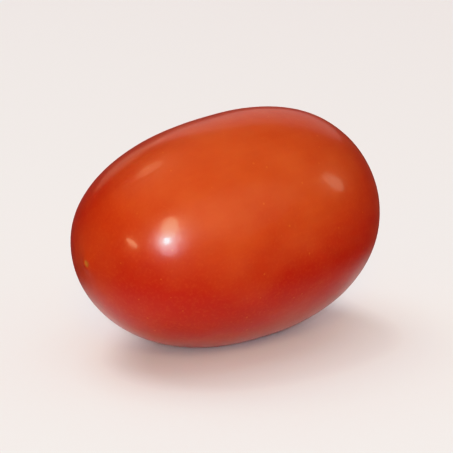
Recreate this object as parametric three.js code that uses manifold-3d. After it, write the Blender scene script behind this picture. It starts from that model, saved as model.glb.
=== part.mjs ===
// A ripe plum tomato, picked without its calyx and lying on its side.
// It grew as one piece, so it is one solid: a blunt, faintly cornered fruit with full
// shoulders round a shallow stem dimple, a corky stem scar in that dimple, a low nub with
// the blossom scar at the other end, and a small flat spot where it rests.
// Millimetres, +Z up. The long axis runs along X: blossom end at -X, stem end at +X.

import * as THREE from "three";
import { mergeVertices } from "three/addons/utils/BufferGeometryUtils.js";
import Module from "manifold-3d";

// Driving dimensions of the whole fruit.
const DIAMETER = 48;
const LENGTH = 70.8;
const BLUNTNESS = 2.29; // exponent of the side outline: 2 is an ellipse, more is blunter
const SHOULDER_GAIN = 0.074; // how much fuller the stem half is than the blossom half

// The section is not quite round: its seed chambers push it out in a few soft lobes.
// Swell is a share of the radius, and crest is where the first lobe stands, in degrees
// from +Y towards +Z.
const LOBES = [
  { count: 2, swell: 0.0094, crest: 116 },
  { count: 3, swell: 0.0057, crest: 8 },
  { count: 4, swell: 0.0093, crest: 8 },
];

// Both ends rise a little from the middle, and the blossom end rises further.
const BEND = 0.6;
const TIP_LIFT = 0.74;

// The stem end: a dimple, folds that run out of it over the shoulder, and the round corky
// scar where the stalk came away, with its raised rim and the stump of the core.
const DIMPLE_DEPTH = 2.6;
const DIMPLE_RADIUS = 5.8;
const FOLD_COUNT = 5;
const FOLD_HEIGHT = 0.34;
const FOLD_PLACE = 6.8; // distance from the axis where the folds are highest
const FOLD_REACH = 3.6;
const FOLD_CREST = 31; // degrees
const SCAR_RADIUS = 2.5;
const SCAR_RIM_HEIGHT = 0.42;
const SCAR_RIM_WIDTH = 0.7;
const STUMP_HEIGHT = 0.5;
const STUMP_RADIUS = 0.75;

// The blossom end: a low nub on a faintly drawn-out tip, with the scar in its middle.
const TIP_HEIGHT = 0.5;
const TIP_RADIUS = 6;
const NUB_HEIGHT = 0.55;
const NUB_RADIUS = 2.2;
const BLOSSOM_PIT_DEPTH = 0.22;
const BLOSSOM_PIT_RADIUS = 0.7;

// How it lies: the blossom end leans down, and the skin is pressed flat where it rests.
const LEAN = 2.4; // degrees
const REST_PRESS = 0.42; // how far the flat spot takes the round underside back

// Facets. Rings crowd towards both ends, where the small features are.
const SECTORS = 60;
const RINGS = 56;
const RING_CROWDING = 0.7; // 0 spaces the rings evenly, 1 closes them up at the poles

const SKIN_COLOUR = 0xc83a12;
const SKIN_ROUGHNESS = 0.3;

const radians = THREE.MathUtils.degToRad;

// A smooth bump: 1 at the place, fading to nothing a few reaches away.
const swellAt = (distance, place, reach) => Math.exp(-(((distance - place) / reach) ** 2));

// Height of the skin at the stem end above a plain blunt end, by its distance from the axis.
// The folds start at the rim of the scar.
function stemEndRelief(distance, turn) {
  const folds = Math.cos(FOLD_COUNT * (turn - radians(FOLD_CREST)));
  const outsideScar = THREE.MathUtils.smoothstep(distance, 0, SCAR_RADIUS);
  return (
    -DIMPLE_DEPTH * swellAt(distance, 0, DIMPLE_RADIUS) +
    FOLD_HEIGHT * folds * outsideScar * swellAt(distance, FOLD_PLACE, FOLD_REACH) +
    SCAR_RIM_HEIGHT * swellAt(distance, SCAR_RADIUS, SCAR_RIM_WIDTH) +
    STUMP_HEIGHT * swellAt(distance, 0, STUMP_RADIUS)
  );
}

// The same for the blossom end.
function blossomEndRelief(distance) {
  return (
    TIP_HEIGHT * swellAt(distance, 0, TIP_RADIUS) +
    NUB_HEIGHT * swellAt(distance, 0, NUB_RADIUS) -
    BLOSSOM_PIT_DEPTH * swellAt(distance, 0, BLOSSOM_PIT_RADIUS)
  );
}

// A point of the skin. Latitude runs from 0 at the stem end to PI at the blossom end, and
// turn goes round the axis from +Y towards +Z.
function skinPoint(latitude, turn) {
  const along = Math.cos(latitude);
  const out = Math.max(Math.sin(latitude), 0);
  const lobes = LOBES.reduce(
    (sum, { count, swell, crest }) => sum + swell * Math.cos(count * (turn - radians(crest))),
    0,
  );
  const round = (DIAMETER / 2) * out ** (2 / BLUNTNESS) * (1 + SHOULDER_GAIN * along);
  const distance = round * (1 + lobes * out ** 2);

  const plain = (LENGTH / 2) * Math.sign(along) * Math.abs(along) ** (2 / BLUNTNESS);
  const relief =
    along > 0 ? stemEndRelief(distance, turn) : -blossomEndRelief(distance);

  const share = plain / (LENGTH / 2);
  const lift = BEND * share ** 2 + TIP_LIFT * Math.min(share, 0) ** 2;
  return new THREE.Vector3(
    plain + relief,
    distance * Math.cos(turn),
    distance * Math.sin(turn) + lift,
  );
}

// A sphere gives the closed net of rings and sectors, and each of its points is then set
// on the skin by its place in that net.
function fruitSkin() {
  const net = new THREE.SphereGeometry(1, SECTORS, RINGS);
  const place = net.getAttribute("position");
  const share = net.getAttribute("uv");
  for (let i = 0; i < place.count; i++) {
    const even = Math.PI * (1 - share.getY(i));
    const latitude = even - (RING_CROWDING * Math.sin(2 * even)) / 2;
    const turn = 2 * Math.PI * share.getX(i);
    const point = skinPoint(latitude, turn);
    place.setXYZ(i, point.x, point.y, point.z);
  }
  net.deleteAttribute("normal");
  net.deleteAttribute("uv");
  return mergeVertices(net);
}

const wasm = await Module();
wasm.setup();

const solidOf = (geometry) =>
  new wasm.Manifold(
    new wasm.Mesh({
      numProp: 3,
      vertProperties: new Float32Array(geometry.getAttribute("position").array),
      triVerts: new Uint32Array(geometry.index.array),
    }),
  );

function geometryOf(solid) {
  const { vertProperties, triVerts } = solid.getMesh();
  return new THREE.BufferGeometry()
    .setAttribute("position", new THREE.BufferAttribute(vertProperties, 3))
    .setIndex(new THREE.BufferAttribute(triVerts, 1));
}

// Lays the fruit down, presses the flat spot into its underside, and puts the origin on
// that flat level, under the middle of the fruit.
function layDown(skin) {
  skin.rotateY(-radians(LEAN));
  skin.computeBoundingBox();
  const floor = skin.boundingBox.min.z + REST_PRESS;
  const below = new THREE.BoxGeometry(2 * LENGTH, 2 * LENGTH, LENGTH);
  below.deleteAttribute("normal");
  below.deleteAttribute("uv");
  below.translate(0, 0, floor - LENGTH / 2);

  const rested = geometryOf(solidOf(skin).subtract(solidOf(mergeVertices(below))));
  rested.computeBoundingBox();
  const middle = rested.boundingBox.getCenter(new THREE.Vector3());
  return rested.translate(-middle.x, -middle.y, -rested.boundingBox.min.z);
}

const skinMaterial = new THREE.MeshStandardMaterial({
  color: SKIN_COLOUR,
  roughness: SKIN_ROUGHNESS,
  metalness: 0,
});

const fruit = new THREE.Mesh(layDown(fruitSkin()), skinMaterial);
fruit.name = "fruit";

const tomato = new THREE.Group();
tomato.add(fruit);

export default tomato;
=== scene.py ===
import bpy
from math import cos, radians, sin
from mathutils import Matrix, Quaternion, Vector


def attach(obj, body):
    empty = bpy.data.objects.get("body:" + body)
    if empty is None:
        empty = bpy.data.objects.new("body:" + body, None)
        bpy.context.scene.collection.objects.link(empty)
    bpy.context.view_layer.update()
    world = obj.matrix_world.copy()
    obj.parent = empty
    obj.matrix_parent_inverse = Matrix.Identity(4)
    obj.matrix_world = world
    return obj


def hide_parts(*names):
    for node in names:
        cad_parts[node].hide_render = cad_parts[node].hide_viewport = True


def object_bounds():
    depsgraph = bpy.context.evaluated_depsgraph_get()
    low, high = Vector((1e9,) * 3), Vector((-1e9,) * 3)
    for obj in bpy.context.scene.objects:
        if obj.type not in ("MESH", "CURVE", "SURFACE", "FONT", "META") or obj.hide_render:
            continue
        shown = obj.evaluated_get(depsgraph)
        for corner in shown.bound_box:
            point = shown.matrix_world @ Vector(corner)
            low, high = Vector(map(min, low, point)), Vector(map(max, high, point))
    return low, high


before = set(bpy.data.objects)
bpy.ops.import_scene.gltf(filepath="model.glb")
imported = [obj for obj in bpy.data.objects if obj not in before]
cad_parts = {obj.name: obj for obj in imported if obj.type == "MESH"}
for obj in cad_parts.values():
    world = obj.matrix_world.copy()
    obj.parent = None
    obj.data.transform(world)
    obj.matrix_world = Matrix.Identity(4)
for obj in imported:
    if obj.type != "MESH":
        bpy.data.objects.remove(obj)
cad_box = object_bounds()

# The camera. It looks down on the fruit from beside its blossom end, so the end is
# foreshortened on the left and the shoulders turn away on the right.
CAMERA_AZIMUTH = radians(-40.0)
CAMERA_ELEVATION = radians(16.9)
CAMERA_DISTANCE = 0.45
CAMERA_LENS = 170.5  # millimetres
SENSOR_WIDTH = 36
AIM_RIGHT = 0.0009  # the fruit stands this much left of the frame's middle
AIM_UP = 0.0003


def direction(azimuth, elevation):
    """Unit vector away from the fruit: azimuth 0 is the -Y side, 90 degrees the +X side."""
    return Vector((
        sin(azimuth) * cos(elevation),
        -cos(azimuth) * cos(elevation),
        sin(elevation),
    ))


middle = (cad_box[0] + cad_box[1]) / 2
toward_camera = direction(CAMERA_AZIMUTH, CAMERA_ELEVATION)
camera_turn = toward_camera.to_track_quat("Z", "Y")
aim = middle + camera_turn @ Vector((AIM_RIGHT, AIM_UP, 0))
camera = bpy.data.objects.new("camera", bpy.data.cameras.new("camera"))
camera.data.lens = CAMERA_LENS
camera.data.sensor_width = SENSOR_WIDTH
camera.data.clip_start = 0.01
camera.location = aim + CAMERA_DISTANCE * toward_camera
camera.rotation_euler = camera_turn.to_euler()
bpy.context.collection.objects.link(camera)
bpy.context.scene.camera = camera

# The floor: a plain pale board, large enough to fill the view from every side. The shine of
# the fruit mirrors the board close to the flat spot and loses it further out, so that no
# level line runs across the skin.
FLOOR_SIDE = 6.0
FLOOR_COLOUR = (0.88, 0.895, 0.91, 1)
FLOOR_ROUGHNESS = 0.6
MIRRORED_NEAR = 0.012  # metres beside the long axis of the fruit
MIRRORED_FAR = 0.052
FRUIT_SLIMNESS = 0.68  # its width over its length


def node(tree, kind, settings=None, inputs=None):
    """A new node of the tree, with its settings made and its inputs linked or filled in."""
    made = tree.nodes.new(kind)
    for name, value in (settings or {}).items():
        setattr(made, name, value)
    for name, value in (inputs or {}).items():
        if isinstance(value, bpy.types.NodeSocket):
            tree.links.new(value, made.inputs[name])
        else:
            made.inputs[name].default_value = value
    return made


bpy.ops.mesh.primitive_plane_add(size=FLOOR_SIDE)
floor = bpy.context.object
floor.name = "floor"
board = bpy.data.materials.new("pale board")
board.use_nodes = True
wood = board.node_tree
bare = wood.nodes["Principled BSDF"]
bare.inputs["Base Color"].default_value = FLOOR_COLOUR
bare.inputs["Roughness"].default_value = FLOOR_ROUGHNESS
slimmed = node(wood, "ShaderNodeVectorMath", {"operation": "MULTIPLY"}, {
    0: node(wood, "ShaderNodeTexCoord").outputs["Object"],
    1: (FRUIT_SLIMNESS, 1, 0),
})
beside = node(wood, "ShaderNodeVectorMath", {"operation": "LENGTH"}, {0: slimmed.outputs["Vector"]})
fade = node(wood, "ShaderNodeMapRange", {"interpolation_type": "SMOOTHSTEP"}, {
    "Value": beside.outputs["Value"],
    "From Min": MIRRORED_NEAR,
    "From Max": MIRRORED_FAR,
})
unseen = node(wood, "ShaderNodeMath", {"operation": "MULTIPLY"}, {
    0: fade.outputs["Result"],
    1: node(wood, "ShaderNodeLightPath").outputs["Is Glossy Ray"],
})
shown = node(wood, "ShaderNodeMixShader", inputs={
    "Fac": unseen.outputs["Value"],
    1: bare.outputs["BSDF"],
    2: node(wood, "ShaderNodeBsdfTransparent").outputs["BSDF"],
})
wood.links.new(shown.outputs["Shader"], wood.nodes["Material Output"].inputs["Surface"])
floor.data.materials.append(board)

# The fruit. A plum tomato grows as one body from the flower: full shoulders fold into a
# shallow dimple round the corky stem scar, soft lobes stand over its seed chambers, and
# the dried flower leaves a small scar on a nub at the far end. All sizes are in metres.
FORM = {
    "Diameter": 0.048,
    "Length": 0.0708,
    "Bluntness": 2.29,
    "Shoulder Gain": 0.074,
    "Bend": 0.0006,
    "Tip Lift": 0.00074,
    "Dimple Depth": 0.0026,
    "Dimple Radius": 0.0058,
    "Fold Height": 0.00034,
    "Fold Place": 0.0068,
    "Fold Reach": 0.0036,
    "Fold Crest": radians(31),
    "Scar Radius": 0.0025,
    "Scar Rim Height": 0.00042,
    "Scar Rim Width": 0.0007,
    "Stump Height": 0.0005,
    "Stump Radius": 0.00075,
    "Tip Height": 0.0005,
    "Tip Radius": 0.006,
    "Nub Height": 0.00055,
    "Nub Radius": 0.0022,
    "Blossom Pit Depth": 0.00022,
    "Blossom Pit Radius": 0.0007,
    "Cork Roughness": 0.00016,
    "Cork Grain": 0.0009,
    "Unevenness": 0.00012,
    "Unevenness Size": 0.014,
    "Lean": radians(2.4),
    "Rest Press": 0.00042,
    "Rest Softness": 0.0003,
    "Seed": 5.0,
}
FOLD_COUNT = 5
# How many lobes, how far they swell as a share of the radius, and where the first stands.
LOBES = (
    (2, 0.0094, radians(116)),
    (3, 0.0057, radians(8)),
    (4, 0.0093, radians(8)),
)
SECTORS = 288
RINGS = 240
RING_CROWDING = 0.7  # 0 spaces the rings evenly, 1 closes them up at the ends

form = bpy.data.node_groups.new("tomato form", "GeometryNodeTree")
form.is_modifier = True
form.interface.new_socket("Geometry", in_out="OUTPUT", socket_type="NodeSocketGeometry")
identifiers = {}
for name, value in FORM.items():
    socket = form.interface.new_socket(name, in_out="INPUT", socket_type="NodeSocketFloat")
    socket.default_value = value
    identifiers[name] = socket.identifier
skin_input = form.interface.new_socket("Skin", in_out="INPUT", socket_type="NodeSocketMaterial")
given = form.nodes.new("NodeGroupInput").outputs


class Field:
    """A number that varies over a surface, held as a socket of its tree, for use in formulas."""

    def __init__(self, socket):
        self.socket = socket

    @staticmethod
    def of(operation, *terms):
        """The field that a Math node gives for the terms, of which at least one is a field."""
        tree = next(term.socket.id_data for term in terms if isinstance(term, Field))
        sockets = {slot: plugged(term) for slot, term in enumerate(terms)}
        return Field(node(tree, "ShaderNodeMath", {"operation": operation}, sockets).outputs[0])

    def then(self, operation, *others):
        """The field that a Math node gives for this one, followed by the others."""
        return Field.of(operation, self, *others)

    def __add__(self, other):
        return self.then("ADD", other)

    def __sub__(self, other):
        return self.then("SUBTRACT", other)

    def __mul__(self, other):
        return self.then("MULTIPLY", other)

    def __truediv__(self, other):
        return self.then("DIVIDE", other)

    def __pow__(self, other):
        return self.then("POWER", other)

    def __rsub__(self, other):
        return Field.of("SUBTRACT", other, self)

    def __rtruediv__(self, other):
        return Field.of("DIVIDE", other, self)

    def __neg__(self):
        return self * -1.0

    def clamped(self):
        """The same field, held between 0 and 1."""
        return self.then("MAXIMUM", 0.0).then("MINIMUM", 1.0)

    def bump(self, place, reach):
        """1 where the field is at the place, fading to nothing a few reaches away."""
        return (-((self - place) / reach) ** 2.0).then("EXPONENT")


def plugged(value):
    """What a node's input takes for a value: the socket of a field, or the plain value."""
    return value.socket if isinstance(value, Field) else value


def vector(tree, x=0.0, y=0.0, z=0.0):
    """A vector put together from fields and numbers."""
    parts = {"X": plugged(x), "Y": plugged(y), "Z": plugged(z)}
    return node(tree, "ShaderNodeCombineXYZ", inputs=parts).outputs[0]


def parts_of(tree, whole):
    """The three parts of a vector, each as a field."""
    split = node(tree, "ShaderNodeSeparateXYZ", inputs={0: whole})
    return [Field(split.outputs[axis]) for axis in "XYZ"]


def sizes(*names):
    """The named sizes of the form, each as a field."""
    return [Field(given[name]) for name in names]


# The net of points is a sphere's, its rings crowded towards the two ends.
net = node(form, "GeometryNodeMeshUVSphere", inputs={"Segments": SECTORS, "Rings": RINGS, "Radius": 1.0})
position = node(form, "GeometryNodeInputPosition").outputs[0]
ball_x, ball_y, ball_z = parts_of(form, position)
even = ball_z.then("ARCCOSINE")
latitude = even - (even * 2.0).then("SINE") * (RING_CROWDING / 2)
turn = ball_y.then("ARCTAN2", ball_x)
along = latitude.then("COSINE")
out = latitude.then("SINE").then("MAXIMUM", 0.0)

# The blunt oval, fuller at the shoulders, with its lobes.
diameter, length, bluntness, gain = sizes("Diameter", "Length", "Bluntness", "Shoulder Gain")
exponent = 2.0 / bluntness
lobes = out * 0.0
for count, swell, lobe_crest in LOBES:
    lobes = lobes + ((turn - lobe_crest) * float(count)).then("COSINE") * swell
distance = diameter * 0.5 * out**exponent * (along * gain + 1.0) * (lobes * out**2.0 + 1.0)
half = length * 0.5
plain = half * along.then("SIGN") * along.then("ABSOLUTE") ** exponent

# Relief of the two ends, raised along the axis. The folds start at the rim of the scar.
dimple_depth, dimple_radius = sizes("Dimple Depth", "Dimple Radius")
fold_height, fold_place, fold_reach, fold_crest = sizes(
    "Fold Height", "Fold Place", "Fold Reach", "Fold Crest"
)
scar_radius, rim_height, rim_width = sizes("Scar Radius", "Scar Rim Height", "Scar Rim Width")
stump_height, stump_radius = sizes("Stump Height", "Stump Radius")
outside = (distance / scar_radius).then("MINIMUM", 1.0)
outside = outside**2.0 * (3.0 - outside * 2.0)
folds = ((turn - fold_crest) * float(FOLD_COUNT)).then("COSINE")
folds = folds * outside * distance.bump(fold_place, fold_reach)
stem_relief = (
    folds * fold_height
    - distance.bump(0.0, dimple_radius) * dimple_depth
    + distance.bump(scar_radius, rim_width) * rim_height
    + distance.bump(0.0, stump_radius) * stump_height
)
tip_height, tip_radius = sizes("Tip Height", "Tip Radius")
nub_height, nub_radius = sizes("Nub Height", "Nub Radius")
pit_depth, pit_radius = sizes("Blossom Pit Depth", "Blossom Pit Radius")
tip_relief = (
    distance.bump(0.0, tip_radius) * tip_height
    + distance.bump(0.0, nub_radius) * nub_height
    - distance.bump(0.0, pit_radius) * pit_depth
)
stem_side = along.then("GREATER_THAN", 0.0)
relief = stem_relief * stem_side - tip_relief * (1.0 - stem_side)
grown = vector(form, plain + relief, distance * turn.then("COSINE"), distance * turn.then("SINE"))

# Small unevenness of the skin, and the crumbly cork of the stem scar.
seed, uneven, uneven_size = sizes("Seed", "Unevenness", "Unevenness Size")
cork, cork_grain = sizes("Cork Roughness", "Cork Grain")


def wander(size, detail):
    """Noise between -1 and 1 over the grown fruit, with features of the given size."""
    noise = node(form, "ShaderNodeTexNoise", {"noise_dimensions": "4D"}, {
        "Vector": grown,
        "W": seed.socket,
        "Scale": size.then("POWER", -1.0).socket,
        "Detail": detail,
    })
    return Field(noise.outputs[0]) * 2.0 - 1.0


cork_place = distance.bump(0.0, scar_radius) * stem_side
ripple = wander(uneven_size, 1.0) * uneven + wander(cork_grain, 3.0) * cork * cork_place

# Lying down: both ends rise a little, the blossom end more, and then the whole fruit leans.
# The mesh keeps where each point grew, for the colours, and its ripple moves it outwards.
bend, tip_lift, lean = sizes("Bend", "Tip Lift", "Lean")
share = plain / half
tail = share.then("MINIMUM", 0.0)
lifted = node(form, "ShaderNodeVectorMath", {"operation": "ADD"}, {
    0: grown,
    1: vector(form, z=bend * share**2.0 + tip_lift * tail**2.0),
})
laid = node(form, "ShaderNodeVectorRotate", {"rotation_type": "Y_AXIS"}, {
    "Vector": lifted.outputs[0],
    "Angle": (-lean).socket,
})
marked = node(form, "GeometryNodeStoreNamedAttribute", {"data_type": "FLOAT_VECTOR"}, {
    "Geometry": net.outputs["Mesh"],
    "Name": "grown",
    "Value": grown,
})
remembered = node(form, "GeometryNodeStoreNamedAttribute", {"data_type": "FLOAT"}, {
    "Geometry": marked.outputs[0],
    "Name": "ripple",
    "Value": ripple.socket,
})
smooth = node(form, "GeometryNodeSetPosition", inputs={
    "Geometry": remembered.outputs[0],
    "Position": laid.outputs[0],
})
kept_ripple = node(form, "GeometryNodeInputNamedAttribute", {"data_type": "FLOAT"}, {"Name": "ripple"})
outwards = node(form, "ShaderNodeVectorMath", {"operation": "SCALE"}, {
    0: node(form, "GeometryNodeInputNormal").outputs[0],
    "Scale": kept_ripple.outputs[0],
})
rippled = node(form, "GeometryNodeSetPosition", inputs={
    "Geometry": smooth.outputs[0],
    "Offset": outwards.outputs[0],
})

# Set down: centred over the origin, with the skin pressed flat where it rests.
press, softness = sizes("Rest Press", "Rest Softness")
box = node(form, "GeometryNodeBoundBox", inputs={"Geometry": rippled.outputs[0]})
low_x, low_y, low_z = parts_of(form, box.outputs["Min"])
high_x, high_y = parts_of(form, box.outputs["Max"])[:2]
point_x, point_y, point_z = parts_of(form, position)
rested = node(form, "GeometryNodeSetPosition", inputs={
    "Geometry": rippled.outputs[0],
    "Position": vector(
        form,
        point_x - (low_x + high_x) * 0.5,
        point_y - (low_y + high_y) * 0.5,
        (point_z - low_z - press).then("SMOOTH_MAX", 0.0, softness),
    ),
})
shaded = node(form, "GeometryNodeSetShadeSmooth", inputs={"Geometry": rested.outputs[0]})
realized = node(form, "GeometryNodeRealizeInstances", inputs={"Geometry": shaded.outputs[0]})
clothed = node(form, "GeometryNodeSetMaterial", inputs={
    "Geometry": realized.outputs[0],
    "Material": given["Skin"],
})
node(form, "NodeGroupOutput", inputs={"Geometry": clothed.outputs[0]})

# The skin: thin, waxy and ripe. It is deep red, turns orange on the side that hung in the sun,
# and fades through orange to olive yellow on the shoulders. That sun side is also painted
# light: it faces up towards the lamps, so the lit face is painted lighter and more orange and
# the underside a darker red. Cork covers the stem scar, and a dry brown point is left where
# the flower was.
DEEP_RED = (0.325, 0.014, 0.008)
ORANGE = (0.475, 0.090, 0.032)
SHOULDER = (0.460, 0.210, 0.034)
CORK = (0.42, 0.23, 0.12)
CORK_DARK = (0.11, 0.045, 0.022)
DRY_POINT = (0.34, 0.12, 0.020)
SPECK = (0.62, 0.22, 0.05)

# Where the colours lie. A pair is where a colour starts and where it is full.
# The sun side also faces up towards the lamps, so its orange is partly painted light.
SUN_AND_LAMP_SIDE = (-0.24, -0.62, 0.71)  # the way that side faces, in half lengths and radii
SUN_AND_LAMP_EDGE = (0.38, 1.02)  # how far that way
WASH_EDGE = (0.66, 0.98)  # half lengths from the middle, for the orange of the shoulders
SHOULDER_EDGE = (0.84, 1.08)  # the same for their olive yellow
TIP_RAY_EDGE = (0.007, 0.001)  # metres from the axis, at the tip
TIP_WASH_EDGE = (0.011, 0.003)
DRY_EDGE = (0.0010, 0.0003)

# Sizes of the patterns, in metres.
PATCH_SIZE = 0.013
CLOUD_SIZE = 0.005
STREAK_SIZE = 0.0012
STREAK_STRETCH = 14  # how many times longer than wide
MOTTLE_SIZE = 0.0006
PORE_SPACING = 0.0022
PORE_EDGE = (0.07, 0.01)  # of the smallest pores, as shares of the spacing
PORE_GROWTH = 0.07  # how much further out the largest end
CRUMB_SIZE = 0.0009
SHINE_SIZE = 0.006
PEEL_SIZE = 0.004
PEEL_DEPTH = 0.00004
CORK_DEPTH = 0.00018
SCAR_FRAY = 0.0016  # how unevenly the cork and the dry point end
DRY_FRAY = 0.0006
RAY_WIDTH = 0.16  # round the axis, as a share of the radius
CRACK_WIDTH = 0.09

# How much of one colour is laid over another, as shares.
SUN_AND_LAMP_AMOUNT = 0.74
SHADE_AMOUNT = 0.05
PATCH_AMOUNT = 0.6
CLOUD_AMOUNT = 0.3
STREAK_AMOUNT = 0.16
WASH_AMOUNT = 0.62
SHOULDER_AMOUNT = 0.85
TIP_RAY_AMOUNT = 0.35
TIP_WASH_AMOUNT = 0.2
MOTTLE_AMOUNT = 0.24
PORE_AMOUNT = 0.28
HALO_AMOUNT = 0.7
DRY_AMOUNT = 0.85

# The wax, and the flesh that light goes a little way into.
WAX_ROUGHNESS = 0.29
WAX_UNEVENNESS = 0.02
SCAR_ROUGHNESS = 0.8
COAT = 0.32
COAT_ROUGHNESS = 0.1
SPECULAR = 0.42
GLOW = 0.25
GLOW_DEPTH = 0.003
GLOW_REACH = (1.0, 0.25, 0.1)  # red light goes furthest

skin = bpy.data.materials.new("tomato skin")
skin.use_nodes = True
paint = skin.node_tree
surface = paint.nodes["Principled BSDF"]


def spread(field, start, end):
    """0 at the start, 1 at the end, and smooth between them."""
    eased = node(paint, "ShaderNodeMapRange", {"interpolation_type": "SMOOTHSTEP"}, {
        "Value": field.socket,
        "From Min": start,
        "From Max": end,
    })
    return Field(eased.outputs[0])


def speckle(place, size, detail=3.0, stretch=(1, 1, 1), offset=(0, 0, 0)):
    """Noise from 0 to 1 with features of that size, stretched along each axis."""
    moved = node(paint, "ShaderNodeMapping", inputs={
        "Vector": place,
        "Location": offset,
        "Scale": tuple(1 / (size * part) for part in stretch),
    })
    noise = node(paint, "ShaderNodeTexNoise", inputs={
        "Vector": moved.outputs[0],
        "Scale": 1.0,
        "Detail": detail,
    })
    return Field(noise.outputs[0])


def tint(under, over, amount):
    """One colour laid over another, by a field from 0 to 1. A colour is a tuple or a socket."""
    mix = node(amount.socket.id_data, "ShaderNodeMix", {"data_type": "RGBA"}, {"Factor": amount.socket})
    colour_inputs = [socket for socket in mix.inputs if socket.type == "RGBA"]
    for socket, colour in zip(colour_inputs, (under, over)):
        if isinstance(colour, tuple):
            socket.default_value = (*colour, 1)
        else:
            mix.id_data.links.new(colour, socket)
    return next(socket for socket in mix.outputs if socket.type == "RGBA")


def measure(first, second, operation="DISTANCE"):
    """The distance of two vectors, or what another Vector Math operation says of them."""
    made = node(paint, "ShaderNodeVectorMath", {"operation": operation}, {0: first, 1: second})
    return Field(made.outputs["Value"])


# Where a point is on the fruit as it grew, in metres and in half lengths and radii, and
# which half of the fruit it is in.
place = node(paint, "ShaderNodeAttribute", {"attribute_name": "grown"}).outputs["Vector"]
radii = node(paint, "ShaderNodeVectorMath", {"operation": "DIVIDE"}, {
    0: place,
    1: (FORM["Length"] / 2, FORM["Diameter"] / 2, FORM["Diameter"] / 2),
}).outputs[0]
place_x, place_y, place_z = parts_of(paint, place)
to_stem = parts_of(paint, radii)[0]
from_axis = measure(place, vector(paint, place_x))
around = place_z.then("ARCTAN2", place_y)
stem_half = spread(to_stem, 0.0, 0.1)
tip_half = 1.0 - stem_half

# The orange of the sun side, partly painted light (lighter and more orange up towards the lamps, darker
# red underneath), with soft patches and faint lengthwise streaks.
sunny_and_painted_light = spread(measure(radii, SUN_AND_LAMP_SIDE, "DOT_PRODUCT"), *SUN_AND_LAMP_EDGE)
patches = speckle(place, PATCH_SIZE)
streaks = speckle(place, STREAK_SIZE, stretch=(STREAK_STRETCH, 1, 1))
clouds = speckle(place, CLOUD_SIZE, offset=(3, 1, 2))
orange = (
    sunny_and_painted_light * SUN_AND_LAMP_AMOUNT
    + (patches - 0.5) * PATCH_AMOUNT
    + (clouds - 0.5) * CLOUD_AMOUNT
    + (streaks - 0.5) * STREAK_AMOUNT
    + SHADE_AMOUNT
)
colour = tint(DEEP_RED, ORANGE, orange.clamped())

# The shoulders, with streaks that run out of the dimple, and the pale rays round the tip.
ray_place = vector(paint, around.then("COSINE"), around.then("SINE"), to_stem * 0.4)
ray_noise = speckle(ray_place, RAY_WIDTH)
uneven_edge = to_stem + (ray_noise - 0.5) * 0.12 + (patches - 0.5) * 0.16
colour = tint(colour, ORANGE, spread(uneven_edge, *WASH_EDGE) * WASH_AMOUNT)
colour = tint(colour, SHOULDER, spread(uneven_edge, *SHOULDER_EDGE) * SHOULDER_AMOUNT)
tip_rays = spread(ray_noise, 0.55, 0.75) * spread(from_axis, *TIP_RAY_EDGE) * tip_half
tip_wash = spread(from_axis, *TIP_WASH_EDGE) * tip_half
colour = tint(colour, ORANGE, tip_rays * TIP_RAY_AMOUNT + tip_wash * TIP_WASH_AMOUNT)

# Fine mottling and scattered pale pores of many sizes.
mottle = speckle(place, MOTTLE_SIZE)
colour = tint(colour, ORANGE, spread(mottle, 0.45, 0.8) * MOTTLE_AMOUNT)
pores = node(paint, "ShaderNodeTexVoronoi", inputs={
    "Vector": place,
    "Scale": 1 / PORE_SPACING,
    "Randomness": 1.0,
})
pore_kind = parts_of(paint, pores.outputs["Color"])[0]
pore = spread(Field(pores.outputs["Distance"]) - pore_kind * PORE_GROWTH, *PORE_EDGE)
colour = tint(colour, SPECK, pore * spread(pore_kind, 0.3, 0.9) * PORE_AMOUNT)

# The scars.
crumbs = speckle(place, CRUMB_SIZE)
cracks = speckle(ray_place, CRACK_WIDTH)
cork_end = FORM["Scar Radius"]
corky = spread(from_axis + (crumbs - 0.5) * SCAR_FRAY, cork_end * 1.12, cork_end * 0.85) * stem_half
rim = from_axis.bump(cork_end * 0.9, FORM["Scar Rim Width"]) * 0.35
cork_tone = spread(cracks * 0.5 + crumbs * 0.5 + rim * 0.4, 0.4, 0.66) * 0.7 + rim
halo = spread(from_axis, cork_end * 2.4, cork_end) * stem_half
colour = tint(colour, SHOULDER, halo * HALO_AMOUNT)
colour = tint(colour, tint(CORK_DARK, CORK, cork_tone), corky)
dry = spread(from_axis + (crumbs - 0.5) * DRY_FRAY, *DRY_EDGE) * tip_half
colour = tint(colour, DRY_POINT, dry * DRY_AMOUNT)
paint.links.new(colour, surface.inputs["Base Color"])

# The wax shine, dull on the scars, over a very fine peel.
scarred = (corky + dry).then("MINIMUM", 1.0)
wax = (speckle(place, SHINE_SIZE) - 0.5) * WAX_UNEVENNESS + WAX_ROUGHNESS
roughness = wax + (SCAR_ROUGHNESS - wax) * scarred
coat = (1.0 - scarred) * COAT
paint.links.new(roughness.socket, surface.inputs["Roughness"])
paint.links.new(coat.socket, surface.inputs["Coat Weight"])
surface.inputs["Coat Roughness"].default_value = COAT_ROUGHNESS
surface.inputs["Specular IOR Level"].default_value = SPECULAR
surface.inputs["Subsurface Weight"].default_value = GLOW
surface.inputs["Subsurface Radius"].default_value = GLOW_REACH
surface.inputs["Subsurface Scale"].default_value = GLOW_DEPTH
peel = speckle(place, PEEL_SIZE, detail=2.0) * PEEL_DEPTH
height = peel + (cracks + crumbs) * corky * CORK_DEPTH
raised = node(paint, "ShaderNodeBump", inputs={"Height": height.socket, "Distance": 1.0, "Strength": 1.0})
paint.links.new(raised.outputs[0], surface.inputs["Normal"])

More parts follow.
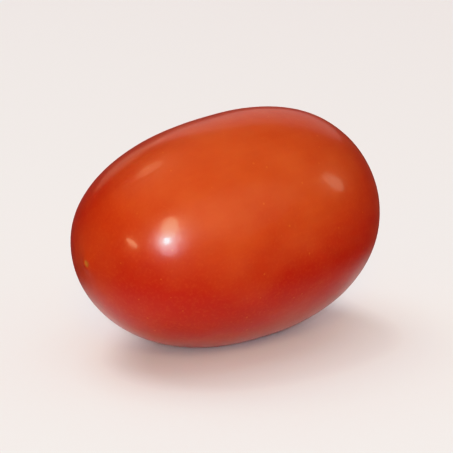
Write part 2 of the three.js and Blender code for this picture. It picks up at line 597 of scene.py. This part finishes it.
# The form grows the fruit on an empty mesh, and what it grows is kept as a plain mesh.
holder = bpy.data.objects.new("grower", bpy.data.meshes.new("grower"))
bpy.context.collection.objects.link(holder)
modifier = holder.modifiers.new("tomato form", "NODES")
modifier.node_group = form
for name, value in FORM.items():
    modifier[identifiers[name]] = value
modifier[skin_input.identifier] = skin
depsgraph = bpy.context.evaluated_depsgraph_get()
fruit_mesh = bpy.data.meshes.new_from_object(holder.evaluated_get(depsgraph))
bpy.data.objects.remove(holder)
fruit = bpy.data.objects.new("tomato_fruit", fruit_mesh)
bpy.context.collection.objects.link(fruit)
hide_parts("fruit")
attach(fruit, "root")

# The light: a small bright lamp by the camera, soft round boxes and a dim pale room. The
# fills light the fruit without a shine of their own. What the skin mirrors of the room is
# redder, so that the turned-away edges keep their colour.
ROOM_COLOUR = (1.0, 0.98, 0.96)
MIRRORED_ROOM_COLOUR = (1.2, 0.52, 0.48)
ROOM_STRENGTH = 0.23
WHITE = (1, 1, 1)


def softbox(name, azimuth, elevation, far, size, watts, colour=WHITE, roll=0):
    """A soft oval light that faces the fruit; angles in degrees, width and height in metres."""
    lamp = bpy.data.objects.new(name, bpy.data.lights.new(name, "AREA"))
    outward = direction(radians(azimuth), radians(elevation))
    facing = outward.to_track_quat("Z", "Y") @ Quaternion((0, 0, 1), radians(roll))
    lamp.data.shape = "ELLIPSE"
    lamp.data.size, lamp.data.size_y = size
    lamp.data.energy = watts
    lamp.data.color = colour
    lamp.location = middle + far * outward
    lamp.rotation_euler = facing.to_euler()
    lamp.visible_camera = False
    bpy.context.collection.objects.link(lamp)
    return lamp


softbox("lamp by the camera", -39.9, 18.2, 0.6, (0.040, 0.062), watts=1.9, colour=(0.94, 0.95, 1))
softbox("warm box", -38, 32, 0.9, (0.19, 0.36), watts=2.2, colour=(1, 0.70, 0.39))
softbox("low box", -38, 8, 0.9, (0.22, 0.2), watts=0.7, colour=(0.86, 0.8, 1))
softbox("left strip", -76, 12.5, 0.9, (0.26, 0.09), watts=0.88, colour=(1, 0.71, 0.38), roll=-26)
softbox("right box", 61, 23, 0.9, (0.25, 0.14), watts=0.30, colour=(1, 0.84, 0.58), roll=-80)
softbox("back lamp", -171.5, 59.5, 1.0, (0.25, 0.23), watts=0.40, colour=(1, 0.68, 0.36))
softbox("front box", 5, 34, 1.2, (1.4, 1.0), watts=1.1, colour=(1, 0.97, 0.95))
softbox("rim box", 130, 26, 1.2, (1.1, 0.75), watts=1.2, colour=(1, 0.62, 0.56))
softbox("left rim box", 168, 20, 1.2, (0.6, 0.42), watts=0.40, colour=(1, 0.66, 0.45))
fills = (
    softbox("front fill", -50, 52, 1.2, (1.0, 1.0), watts=0.4),
    softbox("back fill", -170, 60, 1.2, (1.0, 1.0), watts=7.2),
    softbox("top fill", 0, 90, 1.2, (1.2, 1.2), watts=4.2),
    softbox("side fill", 78, 36, 1.2, (1.0, 1.0), watts=1.3),
)
for fill in fills:
    fill.visible_glossy = False

world = bpy.data.worlds.new("room")
bpy.context.scene.world = world
world.use_nodes = True
room = world.node_tree
background = room.nodes["Background"]
mirrored = Field(node(room, "ShaderNodeLightPath").outputs["Is Glossy Ray"])
room.links.new(tint(ROOM_COLOUR, MIRRORED_ROOM_COLOUR, mirrored), background.inputs["Color"])
background.inputs["Strength"].default_value = ROOM_STRENGTH
bpy.context.scene.view_settings.view_transform = "Khronos PBR Neutral"
